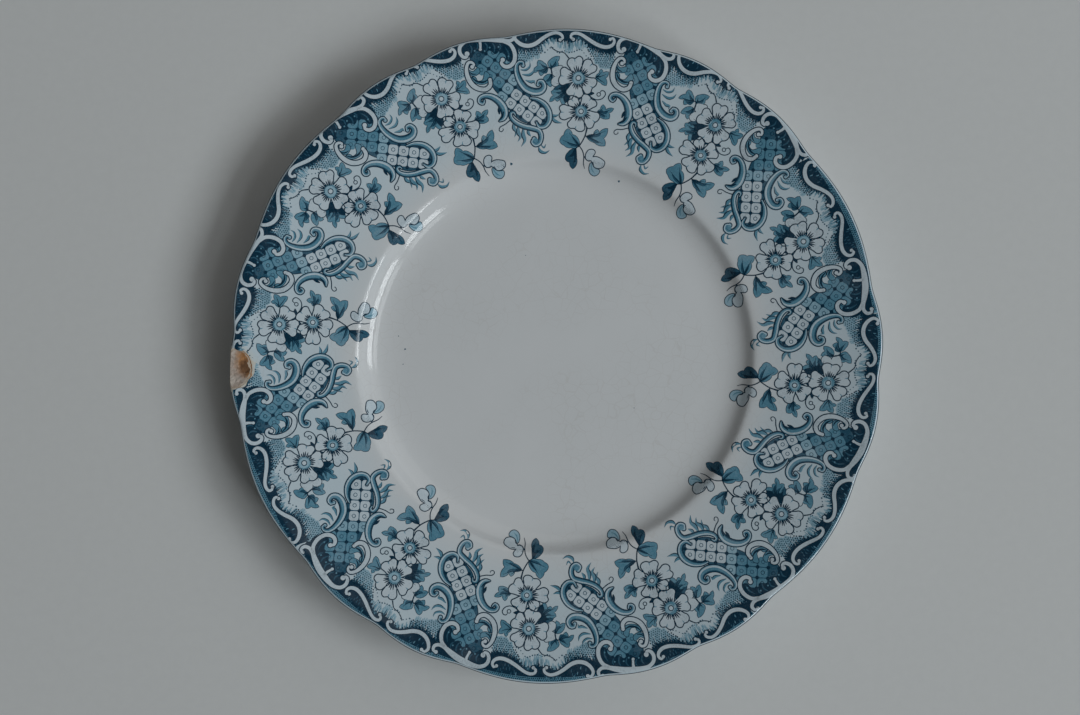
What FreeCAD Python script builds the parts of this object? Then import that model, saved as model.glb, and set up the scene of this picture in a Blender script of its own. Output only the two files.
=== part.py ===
"""China dinner plate, 10 inch: a fired earthenware body under fused skins of print and glaze.

Millimetres, +Z up, origin on the table plane at the plate's axis, the eating face up. Turns are
in degrees, clockwise from +Y as seen from above.

The glazed section is drawn once, as control points, and every inner layer is the same section
moved in by its depth under the glaze. So the layers meet face to face: glaze, then the film of
printed colour, then the fired body.
"""

import FreeCAD
import Part
import math
import os

# Driving dimensions
RIM_R = 127.0  # mean radius at the lip
LIP_Z = 21.2  # height of the lip's widest line
WELL_R = 60.0  # flat eating surface
WELL_Z = 7.0
FOOT_IN_R = 72.7  # bare contact band of the foot ring
FOOT_OUT_R = 75.1
RECESS_R = 68.0  # flat underside inside the foot ring
RECESS_Z = 2.8
GLAZE_T = 0.20  # glaze over the body
FILM_T = 0.05  # printed film, drawn thicker than ink is so that it stays a solid
WIPED_Z = 0.35  # the foot is wiped clean of glaze below this height
FOOT_FLARE = 0.4  # the foot widens by this much up to the wiped line
FOOT_ROUND = 0.1  # soft corner of the bare foot

# Scalloped lip: each sixth of the turn has three lobes, as (degrees, swell)
SIXTH = 60.0
FIRST_CUSP = 18.0
LOBES = ((16.0, 1.75), (17.0, 1.85), (27.0, 2.0))
CUSP_DROP = 1.0  # the cusps lie this far inside the mean radius
CUSP_SOFTNESS = 0.16  # rounds the valley between two lobes
SCALLOP_FROM_R = 84.0  # the scallops fade to nothing at this radius

# Border print: a transfer laid on in four lengths of tissue, joined at these turns
JOINS = (57.0, 177.0, 267.0, 357.0)
PRINT_IN_R = 71.0
PRINT_OUT_R = 126.2

# Flake knocked off the lip: a shallow scoop
CHIP_TURN = 267.8
CHIP_R = 126.3
CHIP_HALF_W = 7.7
CHIP_DEPTH = 2.5

# Glazed section, as (radius, height)
FACE = [
    (WELL_R, WELL_Z), (63.0, WELL_Z), (66.4, 7.2), (69.3, 7.6), (71.6, 8.2), (73.5, 8.9),
    (75.2, 9.9), (76.7, 11.3), (78.1, 12.6), (80.3, 13.1), (85.5, 13.8), (92.0, 15.0),
    (100.0, 16.6), (108.0, 18.3), (115.0, 19.9), (121.0, 21.4), (124.7, 22.4), (126.5, 22.8),
    (RIM_R, 22.2), (RIM_R, LIP_Z),
]
BACK = [
    (RIM_R, LIP_Z), (RIM_R, 20.2), (126.2, 19.1), (123.6, 18.0), (119.0, 16.8), (112.0, 15.1),
    (104.0, 13.3), (96.0, 11.6), (89.5, 10.2), (84.8, 9.0), (81.2, 7.4), (79.0, 5.3),
    (77.7, 3.0), (76.6, 1.3), (FOOT_OUT_R + FOOT_FLARE, WIPED_Z),
]
RECESS = [
    (FOOT_IN_R - FOOT_FLARE, WIPED_Z), (72.0, 1.1), (71.6, 2.2), (70.4, RECESS_Z),
    (RECESS_R, RECESS_Z),
]

# Directions in the section, as (outward, up)
DOWN = (0, -1)
UP = (0, 1)
INWARD = (-1, 0)
OUTWARD = (1, 0)

STEPS = 240  # control points round the turn
SHRINK = (2 + math.cos(math.tau / STEPS)) / 3  # a cubic spline runs this much inside them


def lip_swell(turn):
    """How far the lip stands out from its mean radius at a turn."""
    at = (turn - FIRST_CUSP) % SIXTH
    for length, swell in LOBES:
        if at <= length:
            wave = math.sin(math.pi * at / length)
            return swell * (math.hypot(wave, CUSP_SOFTNESS) - CUSP_SOFTNESS) - CUSP_DROP
        at -= length
    return -CUSP_DROP


def scalloped(radius, turn):
    """A radius with the scallops in it, which grow towards the lip."""
    share = (radius - SCALLOP_FROM_R) / (RIM_R - SCALLOP_FROM_R)
    share = min(1.0, max(0.0, share))
    return radius + lip_swell(turn) * share**2


def turn_of(point):
    return (90 - math.degrees(math.atan2(point.y, point.x))) % 360


def sunk(section, depth, first_way, last_way):
    """The section moved into the body by depth, its two ends along directions of their own."""
    moved = []
    for i in range(len(section)):
        r, z = section[i]
        before = section[max(i - 1, 0)]
        after = section[min(i + 1, len(section) - 1)]
        run_r = after[0] - before[0]
        run_z = after[1] - before[1]
        step = depth / math.hypot(run_r, run_z)
        moved.append((r + step * run_z, z - step * run_r))  # the body is on the right of the run
    for i, way in ((0, first_way), (-1, last_way)):
        moved[i] = (section[i][0] + depth * way[0], section[i][1] + depth * way[1])
    return moved


def swept(section):
    """The cubic surface that a section makes once round the axis, scalloped towards the lip."""
    rows = []
    for i in range(STEPS):
        turn = 360 * (i - 1) / STEPS  # the surface's parameter starts at its second row
        angle = math.radians(90 - turn)
        row = []
        for r, z in section:
            reach = scalloped(r, turn) / SHRINK
            row.append(FreeCAD.Vector(reach * math.cos(angle), reach * math.sin(angle), z))
        rows.append(row)
    spans = len(section) - 3
    round_knots = list(range(STEPS + 1))
    section_knots = list(range(spans + 1))
    section_mults = [4] + [1] * (spans - 1) + [4]
    surface = Part.BSplineSurface()
    surface.buildFromPolesMultsKnots(
        rows, [1] * len(round_knots), section_mults, round_knots, section_knots, True, False, 3, 3
    )
    return surface


def start(surface):
    return surface.bounds()[2]


def end(surface):
    return surface.bounds()[3]


def at_radius(surface, radius):
    """The parameter along the section where a surface reaches a radius of the plain section."""
    low = start(surface)
    high = end(surface)
    for _ in range(50):
        middle = (low + high) / 2
        point = surface.value(0, middle)
        if math.hypot(point.x, point.y) < scalloped(radius, turn_of(point)):
            low = middle
        else:
            high = middle
    return low


def band(surface, low=None, high=None, arc=(0, STEPS)):
    """The part of a surface between two places along the section, over an arc of the turn."""
    low = start(surface) if low is None else low
    high = end(surface) if high is None else high
    return surface.toShape(arc[0], arc[1], low, high)


def ring(surface, at, arc=(0, STEPS)):
    """The edge that runs round a surface at one place along the section."""
    return surface.vIso(at).toShape(arc[0], arc[1])


def disc(edge):
    return Part.Face(Part.Wire(edge))


def washer(outer, inner):
    """The flat face between two rings at one height."""
    hole = Part.Wire(inner)
    hole.reverse()
    return Part.Face([Part.Wire(outer), hole])


def solid(faces):
    """Faces sewn into one closed solid, with its outside out."""
    shell = Part.Shell(Part.makeCompound(faces).Faces)
    shell.sewShape()
    made = Part.Solid(shell)
    if made.Volume < 0:
        made.reverse()
    return made


def make_body(face, back, recess):
    """The fired earthenware, with its bare foot."""
    foot_out = swept([
        (FOOT_OUT_R + FOOT_FLARE - GLAZE_T, WIPED_Z), (FOOT_OUT_R + 1.5 * FOOT_ROUND, FOOT_ROUND),
        (FOOT_OUT_R + FOOT_ROUND, 0), (FOOT_OUT_R, 0),
    ])
    foot_in = swept([
        (FOOT_IN_R, 0), (FOOT_IN_R - FOOT_ROUND, 0),
        (FOOT_IN_R - 1.5 * FOOT_ROUND, FOOT_ROUND), (FOOT_IN_R - FOOT_FLARE + GLAZE_T, WIPED_Z),
    ])
    return solid([
        disc(ring(face, start(face))),
        band(face),
        band(back),
        band(foot_out),
        washer(ring(foot_out, end(foot_out)), ring(foot_in, start(foot_in))),
        band(foot_in),
        band(recess),
        disc(ring(recess, end(recess))),
    ])


def make_face_glaze(outer, film, body, print_in, print_out):
    """The glaze of the eating face. It lies on the body, and on the film where there is print."""
    return solid([
        disc(ring(outer, start(outer))),
        band(outer),
        washer(ring(outer, end(outer)), ring(body, end(body))),
        band(body, print_out, None),
        Part.makeRuledSurface(ring(film, print_out), ring(body, print_out)),
        band(film, print_in, print_out),
        Part.makeRuledSurface(ring(film, print_in), ring(body, print_in)),
        band(body, None, print_in),
        disc(ring(body, start(body))),
    ])


def make_back_glaze(outer, body):
    """The glaze under the rim, from the lip to the wiped foot."""
    return solid([
        band(outer),
        washer(ring(outer, start(outer)), ring(body, start(body))),
        band(body),
        washer(ring(outer, end(outer)), ring(body, end(body))),
    ])


def make_recess_glaze(outer, body):
    """The glaze of the underside within the foot ring."""
    return solid([
        band(outer),
        washer(ring(body, start(body)), ring(outer, start(outer))),
        band(body),
        disc(ring(outer, end(outer))),
        disc(ring(body, end(body))),
    ])


def make_transfer(film, body, print_in, print_out, first_turn, last_turn):
    """One length of printed film between the body and the glaze."""
    arc = (STEPS * first_turn / 360, STEPS * last_turn / 360)
    faces = [
        band(body, print_in, print_out, arc),
        band(film, print_in, print_out, arc),
    ]
    for at in (print_in, print_out):
        faces.append(Part.makeRuledSurface(ring(body, at, arc), ring(film, at, arc)))
    for turn in arc:
        low, high = [s.uIso(turn).toShape(print_in, print_out) for s in (body, film)]
        faces.append(Part.makeRuledSurface(low, high))
    return solid(faces)


def chip_scoop():
    """A ball that dips into the lip and takes the flake out."""
    radius = (CHIP_HALF_W**2 + CHIP_DEPTH**2) / (2 * CHIP_DEPTH)
    angle = math.radians(90 - CHIP_TURN)
    lip_top = max(z for r, z in FACE)
    centre_z = lip_top - CHIP_DEPTH + radius
    centre = FreeCAD.Vector(CHIP_R * math.cos(angle), CHIP_R * math.sin(angle), centre_z)
    return Part.makeSphere(radius, centre)


def main():
    glaze_face = swept(FACE)
    glaze_back = swept(BACK)
    glaze_recess = swept(RECESS)
    film_face = swept(sunk(FACE, GLAZE_T - FILM_T, DOWN, INWARD))
    body_face = swept(sunk(FACE, GLAZE_T, DOWN, INWARD))
    body_back = swept(sunk(BACK, GLAZE_T, INWARD, INWARD))
    body_recess = swept(sunk(RECESS, GLAZE_T, OUTWARD, UP))
    print_in = at_radius(glaze_face, PRINT_IN_R)
    print_out = at_radius(glaze_face, PRINT_OUT_R)

    parts = {
        "biscuit_body": make_body(body_face, body_back, body_recess),
        "face_glaze": make_face_glaze(glaze_face, film_face, body_face, print_in, print_out),
        "back_glaze": make_back_glaze(glaze_back, body_back),
        "foot_recess_glaze": make_recess_glaze(glaze_recess, body_recess),
    }
    last_turns = JOINS[1:] + (JOINS[0] + 360,)
    for i in range(len(JOINS)):
        film = make_transfer(film_face, body_face, print_in, print_out, JOINS[i], last_turns[i])
        parts[f"border_transfer_{i + 1}"] = film

    scoop = chip_scoop()
    os.makedirs("parts", exist_ok=True)
    for name, part in parts.items():
        if part.common(scoop).Volume > 0:
            part = part.cut(scoop)
        if not part.isValid() or len(part.Solids) != 1:
            raise RuntimeError(name + " is not one sound solid")
        part.exportStep("parts/" + name + ".step")
        print(name, round(part.Volume / 1000, 2), "cm3")


main()
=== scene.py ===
import math
import random

import bmesh
import bpy
import numpy as np
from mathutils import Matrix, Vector, noise
from mathutils.geometry import delaunay_2d_cdt


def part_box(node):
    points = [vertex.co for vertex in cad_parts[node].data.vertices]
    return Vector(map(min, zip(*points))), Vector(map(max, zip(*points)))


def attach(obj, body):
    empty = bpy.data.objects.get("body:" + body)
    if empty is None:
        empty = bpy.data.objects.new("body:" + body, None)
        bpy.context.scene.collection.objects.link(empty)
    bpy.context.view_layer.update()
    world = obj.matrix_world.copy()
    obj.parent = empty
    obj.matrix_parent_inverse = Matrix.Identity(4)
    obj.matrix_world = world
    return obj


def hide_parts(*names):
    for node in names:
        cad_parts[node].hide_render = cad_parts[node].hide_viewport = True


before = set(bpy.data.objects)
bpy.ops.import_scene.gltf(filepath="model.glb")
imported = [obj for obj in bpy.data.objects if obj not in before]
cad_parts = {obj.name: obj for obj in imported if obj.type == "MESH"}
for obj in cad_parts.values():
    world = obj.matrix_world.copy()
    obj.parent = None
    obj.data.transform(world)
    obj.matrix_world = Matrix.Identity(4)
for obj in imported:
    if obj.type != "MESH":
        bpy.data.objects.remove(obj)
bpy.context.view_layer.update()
mm = 0.001

# Turns are in degrees, clockwise from +Y seen from above. Sections are (radius, height) in mm.

plate = {
    "wellR": 60.0, "wellZ": 7.0, "lipZ": 21.2,
    "footInR": 72.7, "footOutR": 75.1, "recessR": 68.0, "recessZ": 2.8,
    "topZ": 22.8, "glazeDeep": 0.20, "wipedZ": 0.35, "footFlare": 0.4,
    "firstCusp": 18.0, "lobes": ((16.0, 1.75), (17.0, 1.85), (27.0, 2.0)),
    "cuspDrop": 1.0, "cuspSoft": 0.16, "scallopFromR": 84.0,
    "sectors": 480,  # facets round the turn
    "wobble": 0.10,  # hand-pressed unevenness of the face
}


def lipSwell(turn):
    at = (turn - plate["firstCusp"]) % 60.0
    for length, swell in plate["lobes"]:
        if at <= length:
            wave = math.sin(math.pi * at / length)
            return swell * (math.hypot(wave, plate["cuspSoft"]) - plate["cuspSoft"]) - plate["cuspDrop"]
        at -= length
    return -plate["cuspDrop"]


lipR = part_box("back_glaze")[1].x / mm - lipSwell(90.0)  # mean radius, from the CAD lip

faceSection = [
    (plate["wellR"], plate["wellZ"]), (63.0, plate["wellZ"]), (66.4, 7.2), (69.3, 7.6),
    (71.6, 8.2), (73.5, 8.9), (75.2, 9.9), (76.7, 11.3), (78.1, 12.6), (80.3, 13.1),
    (85.5, 13.8), (92.0, 15.0), (100.0, 16.6), (108.0, 18.3), (115.0, 19.9), (121.0, 21.4),
    (124.7, 22.4), (126.5, 22.8), (lipR, 22.2), (lipR, plate["lipZ"]),
]
backSection = [
    (lipR, plate["lipZ"]), (lipR, 20.2), (126.2, 19.1), (123.6, 18.0), (119.0, 16.8),
    (112.0, 15.1), (104.0, 13.3), (96.0, 11.6), (89.5, 10.2), (84.8, 9.0), (81.2, 7.4),
    (79.0, 5.3), (77.7, 3.0), (76.6, 1.3),
    (plate["footOutR"] + plate["footFlare"], plate["wipedZ"]),
]
recessSection = [
    (plate["footInR"] - plate["footFlare"], plate["wipedZ"]), (72.0, 1.1), (71.6, 2.2),
    (70.4, plate["recessZ"]), (plate["recessR"], plate["recessZ"]),
]


def sunk(section, depth, firstWay, lastWay):
    # a section moved into the body, its ends along ways of their own
    moved = []
    for i in range(len(section)):
        before = section[max(i - 1, 0)]
        after = section[min(i + 1, len(section) - 1)]
        runR = after[0] - before[0]
        runZ = after[1] - before[1]
        step = depth / math.hypot(runR, runZ)
        moved.append((section[i][0] + step * runZ, section[i][1] - step * runR))
    for i, way in ((0, firstWay), (-1, lastWay)):
        moved[i] = (section[i][0] + depth * way[0], section[i][1] + depth * way[1])
    return moved


def splinePoints(controls, perSpan):
    # cubic B-spline held at both ends, the curve that the CAD section runs on
    controls = np.array(controls, float)
    spans = len(controls) - 3
    knots = np.array([0] * 3 + list(range(spans + 1)) + [spans] * 3, float)
    found = []
    for s in range(spans):
        ends = 1 if s == spans - 1 else 0
        for i in range(perSpan + ends):
            t = s + i / perSpan
            d = [controls[j + s].copy() for j in range(4)]
            for r in range(1, 4):
                for j in range(3, r - 1, -1):
                    low = knots[j + s]
                    share = (t - low) / (knots[j + 1 + s - r + 3] - low)
                    d[j] = (1 - share) * d[j - 1] + share * d[j]
            found.append(d[3])
    return np.array(found)


swellTable = np.array([lipSwell(t / 4) for t in range(1440)])


def swellAt(turns):
    return np.interp(np.asarray(turns) % 360.0, np.arange(1440) / 4, swellTable, period=360.0)


def scalloped(radii, turns):
    share = np.clip((radii - plate["scallopFromR"]) / (lipR - plate["scallopFromR"]), 0, 1)
    return radii + swellAt(turns) * share**2


faceCurve = splinePoints(faceSection, 8)


def onFace(x, y, lift):
    # points over the glazed face, in metres, from plan places and lifts in mm
    x = np.asarray(x, float)
    y = np.asarray(y, float)
    turns = np.degrees(np.arctan2(x, y)) % 360.0
    reach = np.hypot(x, y)
    plain = reach.copy()
    for _ in range(4):
        plain = reach - (scalloped(plain, turns) - plain)
    shown = faceCurve[faceCurve[:, 0] < lipR - 0.1]
    z = np.interp(plain, shown[:, 0], shown[:, 1]) + faceWobble(x, y)
    return np.stack([x, y, z + lift], 1) * mm


def faceWobble(x, y):
    # slow waves that catch the light, none at the lip or in the foot
    reach = np.hypot(x, y)
    fade = np.clip((124 - reach) / 20, 0, 1) * plate["wobble"]
    return fade * (0.5 * np.sin(x / 17 + 0.7) * np.cos(y / 23) + 0.3 * np.sin(x / 41 - y / 37 + 2))


def addMesh(name, points, faces, smooth=True):
    mesh = bpy.data.meshes.new(name)
    mesh.from_pydata([tuple(p) for p in points], [], faces)
    mesh.validate()
    mesh.update()
    if smooth:
        mesh.shade_smooth()
    piece = bpy.data.objects.new(name, mesh)
    bpy.context.scene.collection.objects.link(piece)
    return piece


def lathe(name, loop, wobbly):
    # a closed section loop turned round the axis. wobbly has 1 for the points of the open face
    sectors = plate["sectors"]
    turns = np.arange(sectors) * 360 / sectors
    points = []
    rows = []
    for (r, z), share in zip(loop, wobbly):
        if r < 1e-6:
            rows.append([len(points)] * sectors)
            points.append((0.0, 0.0, z * mm))
            continue
        reach = scalloped(np.full(sectors, r), turns)
        x = reach * np.sin(np.radians(turns))
        y = reach * np.cos(np.radians(turns))
        height = z + share * faceWobble(x, y)
        rows.append(list(range(len(points), len(points) + sectors)))
        points.extend(zip(x * mm, y * mm, height * mm))
    faces = []
    for i in range(len(rows)):
        one = rows[i]
        two = rows[(i + 1) % len(rows)]
        if one[0] == one[1] and two[0] == two[1]:
            continue
        for s in range(sectors):
            n = (s + 1) % sectors
            corners = [one[s], one[n], two[n], two[s]]
            if corners[0] == corners[1]:
                corners = corners[1:]
            elif corners[2] == corners[3]:
                corners = corners[:3]
            faces.append(corners)
    return addMesh(name, points, faces)


# the print: flat shapes in mm, drawn once and laid twelve times round the rim

inks = {  # colour of each tone, from full ink to bare glaze
    "deep": (0.0035, 0.039, 0.078), "blue": (0.026, 0.116, 0.192), "mid": (0.122, 0.325, 0.455),
    "pale": (0.330, 0.550, 0.680), "reserve": (0.655, 0.770, 0.850),
}
film = {
    "lift": 0.035, "layer": 0.006, "edgeGap": 0.85, "line": 0.42,
    "lipFrom": 117.0, "lane": 0.5,  # out here the face curves, so shapes are cut finer
}
art = []  # one entry a shape: tone, layer, points, faces


def smoothPath(points, closed=False):
    # an even curve through the points; a third number, a width, is carried along
    points = np.array(points, float)
    count = len(points)
    spans = count if closed else count - 1
    found = []
    for i in range(spans):
        if closed:
            a, b, c, d = [points[(i + j) % count] for j in (-1, 0, 1, 2)]
        else:
            a, b, c, d = [points[min(max(i + j, 0), count - 1)] for j in (-1, 0, 1, 2)]
        cuts = max(2, int(math.hypot(c[0] - b[0], c[1] - b[1]) / 0.45))
        for j in range(cuts):
            t = j / cuts
            bend = 2 * a - 5 * b + 4 * c - d
            rest = 3 * b - a - 3 * c + d
            found.append(b + 0.5 * ((c - a) * t + bend * t**2 + rest * t**3))
    if not closed:
        found.append(points[-1])
    return np.array(found)


def sideways(path, closed=False):
    # unit normals on the left of a path
    if closed:
        along = np.roll(path, -1, 0) - np.roll(path, 1, 0)
    else:
        along = np.gradient(path, axis=0)
    along = along / np.maximum(np.hypot(along[:, 0], along[:, 1])[:, None], 1e-9)
    return np.stack([-along[:, 1], along[:, 0]], 1)


def grown(outline, by):
    x, y = outline[:, 0], outline[:, 1]
    area = np.sum(x * np.roll(y, -1) - np.roll(x, -1) * y)
    return outline - sideways(outline, True) * by * (1 if area > 0 else -1)


def inside(outline, x, y):
    found = np.zeros(len(x), bool)
    ahead = np.roll(outline, -1, 0)
    for (ax, ay), (bx, by) in zip(outline, ahead):
        if ay != by:
            hit = ((ay > y) != (by > y)) & (x < (bx - ax) * (y - ay) / (by - ay) + ax)
            found ^= hit
    return found


def fill(tone, layer, outline):
    # a filled outline, with inner points so that it follows the curved rim
    outline = np.array(outline, float)[:, :2]
    low, high = outline.min(0), outline.max(0)
    step = 0.5 if low[1] < 85 or high[1] > 122 else 0.8 if high[1] > 119 else 1.4
    gx, gy = np.meshgrid(np.arange(low[0], high[0], step), np.arange(low[1], high[1], step))
    gx, gy = gx.ravel(), gy.ravel()
    keep = inside(grown(outline, -0.3 * step), gx, gy)
    spots = [Vector(p) for p in outline] + [Vector(p) for p in zip(gx[keep], gy[keep])]
    ring = list(range(len(outline)))
    points, _, faces = delaunay_2d_cdt(spots, [], [ring], 1, 1e-5)[:3]
    art.append((tone, layer, np.array([tuple(p) for p in points]), [list(f) for f in faces]))


def stroke(tone, layer, points, extra=0.0, shift=0.0, share=1.0):
    # a ribbon along (x, y, width) points
    ribbon(tone, layer, smoothPath(points), extra, shift, share)


def ribbon(tone, layer, path, extra=0.0, shift=0.0, share=1.0):
    width = np.maximum(path[:, 2] * share + 2 * extra, 0.04)
    line = path[:, :2] + sideways(path[:, :2]) * (shift * path[:, 2])[:, None]
    side = sideways(line) * (width / 2)[:, None]
    lanes = 1 + int(width.max() / film["lane"]) if path[:, 1].max() > film["lipFrom"] else 1
    across = np.linspace(1, -1, lanes + 1)
    points = (line[:, None] + side[:, None] * across[:, None]).reshape(-1, 2)
    faces = []
    for i in range(len(line) - 1):
        for first in range(i * (lanes + 1), i * (lanes + 1) + lanes):
            faces.append([first, first + 1, first + lanes + 2, first + lanes + 1])
    art.append((tone, layer, points, faces))


def dot(tone, layer, x, y, radius, sides=8):
    angles = np.arange(sides) * math.tau / sides
    ring = np.stack([x + radius * np.cos(angles), y + radius * np.sin(angles)], 1)
    if radius > film["lane"] and y > film["lipFrom"]:
        fill(tone, layer, ring)
    else:
        art.append((tone, layer, ring, [list(range(sides))]))


def ringLine(tone, layer, x, y, radius, width, sides=12):
    angles = np.arange(sides + 1) * math.tau / sides
    stroke(tone, layer, np.stack([x + radius * np.cos(angles), y + radius * np.sin(angles),
                                  np.full(sides + 1, width)], 1))


def scroll(points, body="reserve", dark=None, side=1, ends=(0.0, 0.0), layer=7):
    # an outlined ribbon, shaded along its inner side, with round ends
    line = film["line"]
    stroke("deep", layer, points, extra=line)
    stroke(body, layer + 1, points)
    if dark:
        stroke(dark, layer + 1.5, points, shift=-side * 0.20, share=0.60)
        stroke("blue", layer + 2, points, shift=-side * 0.41, share=0.18)
        stroke("reserve", layer + 2, points, shift=side * 0.26, share=0.20)
    for (x, y, w), bulb in zip((points[0], points[-1]), ends):
        radius = max(w / 2, bulb)
        dot("deep", layer, x, y, radius + line, 10)
        dot(body, layer + 1, x, y, radius, 10)


def leafLine(points, bulge=0.13):
    # straight-sided points bowed outwards, so that tips and notches stay sharp
    points = np.array(points, float)
    x, y = points[:, 0], points[:, 1]
    turnWay = 1 if np.sum(x * np.roll(y, -1) - np.roll(x, -1) * y) > 0 else -1
    found = []
    for a, b in zip(points, np.roll(points, -1, 0)):
        run = b - a
        out = np.array([run[1], -run[0]]) * turnWay * bulge
        cuts = max(2, int(math.hypot(*run) / 0.6))
        for j in range(cuts):
            t = j / cuts
            found.append(a + run * t + out * 4 * t * (1 - t))
    return np.array(found)


def leaf(points, veins, tone="mid", dark="blue", layer=1):
    # the first point is where the leaf joins its stalk; each vein carries a darker shade
    outline = leafLine(points)
    fill("deep", layer, grown(outline, 0.20))
    fill(tone, layer + 1, outline)
    base = outline[0]
    for x, y in veins:
        mid = (base + (x, y)) / 2 + (0.25, -0.2)
        low = mid + (0.35, -0.45)
        end = ((x + mid[0]) / 2, (y + mid[1]) / 2 - 0.2)
        stroke(dark, layer + 2, [(*base, 0.9), (*low, 1.1), (*end, 0.3)])
        stroke("deep", layer + 3, [(*base, 0.40), (*mid, 0.30), (x, y, 0.10)])


def blob(tone, layer, points, line=0.0):
    outline = smoothPath(points, True)
    if line:
        fill("deep", layer, grown(outline, line))
        layer += 1
    fill(tone, layer, outline)


def petal(centre, angle, inner, reach, half):
    # a heart of a petal, narrow at the disc, its outer edge in three soft lobes
    shape = [(inner, -0.42), (0.62, -0.80), (0.80, -0.98), (0.93, -0.86), (0.99, -0.58), (0.955, -0.30),
             (0.93, -0.05), (0.985, 0.22), (1.0, 0.52), (0.93, 0.86), (0.78, 1.0), (0.60, 0.80),
             (inner, 0.42)]
    shape = [(shape[0][0] / reach, shape[0][1])] + shape[1:-1] + [(shape[-1][0] / reach, shape[-1][1])]
    outline = smoothPath([(along * reach, across * half) for along, across in shape], True)
    way = np.array([math.cos(angle), math.sin(angle)])
    return centre + outline[:, :1] * way + outline[:, 1:] * np.array([-way[1], way[0]])


def flower(centre, tips, disc, layer=4):
    draw = random.Random(round(centre[1]))
    centre = np.array(centre)
    angles = [math.atan2(y - centre[1], x - centre[0]) for x, y in tips]
    dot("pale", layer, *centre, disc * 1.5, 20)
    for i, tip in enumerate(tips):
        angle = angles[i]
        reach = math.hypot(tip[0] - centre[0], tip[1] - centre[1])
        left = abs((angles[i - 1] - angle + math.pi) % math.tau - math.pi)
        right = abs((angles[(i + 1) % len(tips)] - angle + math.pi) % math.tau - math.pi)
        half = 0.72 * reach * math.tan(0.47 * min(left, right, 1.30))
        outline = petal(centre, angle, disc * 0.72, reach, half)
        fill("deep", layer + 1, grown(outline, 0.40))
        fill("reserve", layer + 2, outline)
        band = np.full((len(outline) + 1, 1), 0.36)
        ribbon("deep", layer + 3, np.hstack([grown(outline, 0.16)[list(range(len(outline))) + [0]], band]))
        crease = centre + np.array([math.cos(angle), math.sin(angle)]) * reach * 0.93
        stroke("mid", layer + 3, [(*crease, 0.5), (*(centre + (crease - centre) * 0.84), 0.1)])
    dot("pale", layer + 3, *centre, disc, 18)
    ringLine("mid", layer + 3.5, *centre, disc * 0.72, disc * 0.42, 18)
    for i, tip in enumerate(tips):
        reach = math.hypot(tip[0] - centre[0], tip[1] - centre[1])
        for j in range(5):
            lean = (j - 2) * 0.21 + draw.uniform(-0.03, 0.03)
            angle = angles[i] + lean
            start = disc * draw.uniform(0.80, 0.92)
            stop = disc + (reach - disc) * (0.42 - 0.9 * abs(lean) * abs(lean)) * draw.uniform(0.75, 1.1)
            way = np.array([math.cos(angle), math.sin(angle)])
            one, two = centre + way * start, centre + way * stop
            stroke("deep", layer + 4, [(*one, 0.40), (*((one + two) / 2), 0.52), (*two, 0.14)])
    dot("deep", layer + 5, *centre, disc * 0.43, 12)
    dot("reserve", layer + 6, *centre, disc * 0.30, 12)


def finger(points, tone="mid"):
    # a curved feather tip, dark along one side
    stroke(tone, 2, points)
    stroke("deep", 3, points, shift=-0.36, share=0.26)


def polarArc(radius, first, last, count):
    angles = np.radians(np.linspace(first, last, count))
    return np.stack([radius * np.sin(angles), radius * np.cos(angles)], 1)


# the hanging spray

spray = {
    "upper": {"centre": (1.5, 107.0), "disc": 2.7,
              "tips": [(-0.9, 114.7), (6.6, 113.0), (7.6, 103.4), (0.2, 99.9), (-5.9, 107.6)]},
    "lower": {"centre": (3.5, 94.3), "disc": 2.5,
              "tips": [(-0.7, 99.0), (7.2, 99.6), (9.4, 90.2), (1.4, 87.2), (-4.9, 93.6)]},
}
flower(**spray["upper"])
flower(**spray["lower"])
blob("deep", 3, [(-4.6, 104.9), (-1.6, 104.9), (-1.8, 102.5), (-1.0, 99.8), (-2.8, 97.2), (-4.0, 99.4),
                 (-4.8, 102.2)])
blob("deep", 3, [(2.4, 98.6), (1.8, 100.4), (3.0, 101.9), (3.4, 103.4), (5.8, 102.4), (8.2, 101.5),
                 (6.4, 100.4), (4.2, 100.2)])
leaf([(-11.0, 110.3), (-12.6, 112.2), (-14.8, 112.9), (-14.9, 110.9), (-16.4, 108.2), (-14.3, 109.4),
      (-13.3, 107.2), (-12.1, 108.9)], [(-14.4, 112.0), (-15.6, 109.0), (-13.2, 108.2)])
leaf([(-9.7, 110.4), (-11.0, 112.1), (-10.2, 113.4), (-6.7, 114.9), (-7.3, 112.9), (-6.9, 111.2),
      (-8.3, 110.6)], [(-7.6, 114.0), (-10.2, 112.4)])
leaf([(-9.2, 107.9), (-11.4, 107.4), (-12.5, 103.9), (-10.7, 104.6), (-9.0, 103.2), (-9.0, 105.4)],
     [(-11.8, 104.8), (-9.4, 104.2)])
leaf([(-2.6, 105.0), (-5.0, 105.7), (-7.7, 104.8), (-6.8, 103.4), (-7.9, 101.8), (-5.6, 102.2),
      (-4.2, 100.6), (-3.0, 102.4)], [(-7.0, 104.5), (-7.2, 102.2)], "blue", "deep")
leaf([(-3.1, 101.9), (-5.6, 102.4), (-8.7, 101.4), (-7.7, 100.0), (-9.1, 97.5), (-7.0, 98.8),
      (-6.1, 97.8), (-5.0, 99.0), (-3.5, 96.4), (-2.8, 99.2)], [(-8.0, 101.2), (-8.2, 98.4), (-6.0, 98.7)])
leaf([(8.2, 107.7), (9.4, 109.2), (10.0, 110.8), (10.9, 109.4), (13.0, 109.8), (12.0, 107.4),
      (12.5, 104.7), (10.2, 105.7)], [(10.2, 109.8), (12.2, 109.0), (12.0, 105.4)], "mid", "mid")
leaf([(9.8, 94.2), (11.0, 95.4), (11.9, 97.2), (13.0, 95.3), (16.0, 96.0), (14.3, 94.2), (14.5, 92.1),
      (11.2, 92.4)], [(11.9, 96.2), (15.0, 95.5), (13.8, 92.8)])
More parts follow.
